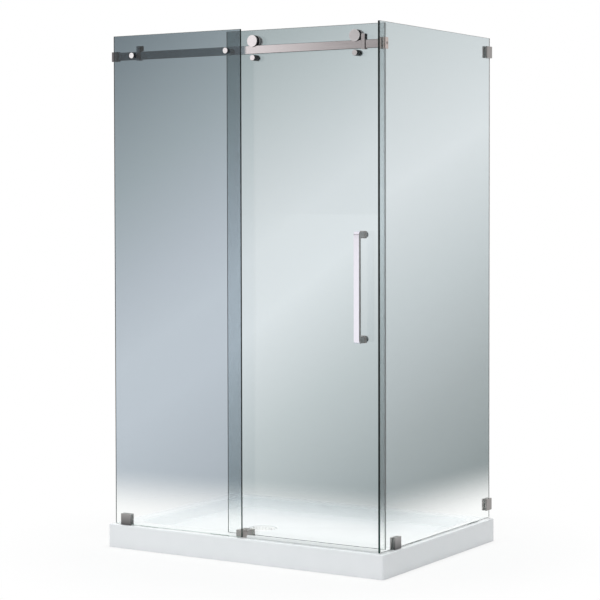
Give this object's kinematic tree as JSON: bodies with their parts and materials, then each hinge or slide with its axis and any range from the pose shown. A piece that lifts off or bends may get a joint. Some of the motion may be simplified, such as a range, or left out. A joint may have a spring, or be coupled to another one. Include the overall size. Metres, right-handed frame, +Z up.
{
  "type": "sliding shower enclosure",
  "caption": "Corner shower enclosure on a white tray: fixed and return glass panels and a frameless sliding glass door on rollers along a flat steel rail, with a D handle.",
  "frame": {"origin": "under the middle of the tray, on the floor", "axes": "+X to the right along the front, from the left wall to the glass return; +Y from the front to the back wall; +Z up"},
  "size_m": [1.219, 0.889, 1.9685],
  "materials": {
    "acrylic": "glossy white acrylic",
    "clear_glass": "clear tempered glass",
    "brushed_steel": "brushed stainless steel",
    "polished_steel": "satin polished stainless steel",
    "clear_vinyl": "clear vinyl",
    "black_rubber": "black rubber",
    "black_nylon": "black nylon",
    "white_nylon": "white nylon",
    "bearing_steel": "ground bearing steel",
    "chrome_brass": "chrome plate"
  },
  "bodies": {
    "enclosure": {"shower_tray": "acrylic", "drain_body": "chrome_brass", "drain_gasket": "black_rubber", "drain_nut": "black_nylon", "drain_cover": "polished_steel", "drain_screws": "polished_steel", "fixed_panel": "clear_glass", "return_panel": "clear_glass", "setting_blocks": "clear_vinyl", "rail": "brushed_steel", "rail_wall_bracket": "brushed_steel", "rail_return_socket": "brushed_steel", "rail_return_block": "brushed_steel", "rail_return_gaskets": "clear_vinyl", "rail_return_bolt": "polished_steel", "connector_caps": "brushed_steel", "connector_gaskets": "clear_vinyl", "connector_spacers": "brushed_steel", "connector_bolts": "polished_steel", "stop_left": "brushed_steel", "stop_right": "brushed_steel", "bumper_left": "black_rubber", "bumper_right": "black_rubber", "grub_screws": "bearing_steel", "fixed_floor_clip": "brushed_steel", "fixed_floor_clip_plate": "brushed_steel", "return_floor_clip": "brushed_steel", "return_floor_clip_plate": "brushed_steel", "upper_wall_clip": "brushed_steel", "upper_wall_clip_plate": "brushed_steel", "lower_wall_clip": "brushed_steel", "lower_wall_clip_plate": "brushed_steel", "clip_gaskets": "clear_vinyl", "clip_screws": "polished_steel", "floor_clip_screws": "polished_steel", "bottom_guide": "brushed_steel", "guide_liners": "white_nylon", "guide_screws": "polished_steel", "threshold_strip": "clear_vinyl"},
    "door": {"door_panel": "clear_glass", "door_strike_seal": "clear_vinyl", "roller_mounts": "brushed_steel", "axle_nuts": "bearing_steel", "roller_inner_caps": "brushed_steel", "hanger_gaskets": "clear_vinyl", "antilift_studs": "brushed_steel", "antilift_inner_caps": "brushed_steel", "pull_handle": "brushed_steel", "handle_collars": "brushed_steel", "handle_gaskets": "clear_vinyl", "handle_inner_caps": "brushed_steel", "handle_studs": "bearing_steel"},
    "wheel_left": {"wheel_left": "black_nylon", "wheel_bearing_left": "bearing_steel", "wheel_cap_left": "polished_steel"},
    "antilift_left": {"antilift_roller_left": "black_nylon"},
    "wheel_right": {"wheel_right": "black_nylon", "wheel_bearing_right": "bearing_steel", "wheel_cap_right": "polished_steel"},
    "antilift_right": {"antilift_roller_right": "black_nylon"}
  },
  "joints": [
    {"name": "door_slide", "type": "slide", "parent": "enclosure", "child": "door", "axis": [-1, 0, 0], "range_m": [0, 0.4835]},
    {"name": "wheel_left_spin", "type": "hinge", "parent": "door", "child": "wheel_left", "pos_m": [0.0385, -0.3995, 1.9235], "axis": [0, -1, 0], "range_deg": [-10, 1640]},
    {"name": "wheel_right_spin", "type": "hinge", "parent": "door", "child": "wheel_right", "pos_m": [0.4735, -0.3995, 1.9235], "axis": [0, -1, 0], "range_deg": [-10, 1640]},
    {"name": "antilift_left_spin", "type": "hinge", "parent": "door", "child": "antilift_left", "pos_m": [0.0385, -0.3975, 1.8625], "axis": [0, -1, 0], "continuous": true},
    {"name": "antilift_right_spin", "type": "hinge", "parent": "door", "child": "antilift_right", "pos_m": [0.4735, -0.3975, 1.8625], "axis": [0, -1, 0], "continuous": true}
  ],
  "couplings": [
    {"joint": "wheel_left_spin", "follows": "door_slide", "rad_per_m": 58.824},
    {"joint": "wheel_right_spin", "follows": "door_slide", "rad_per_m": 58.824}
  ]
}
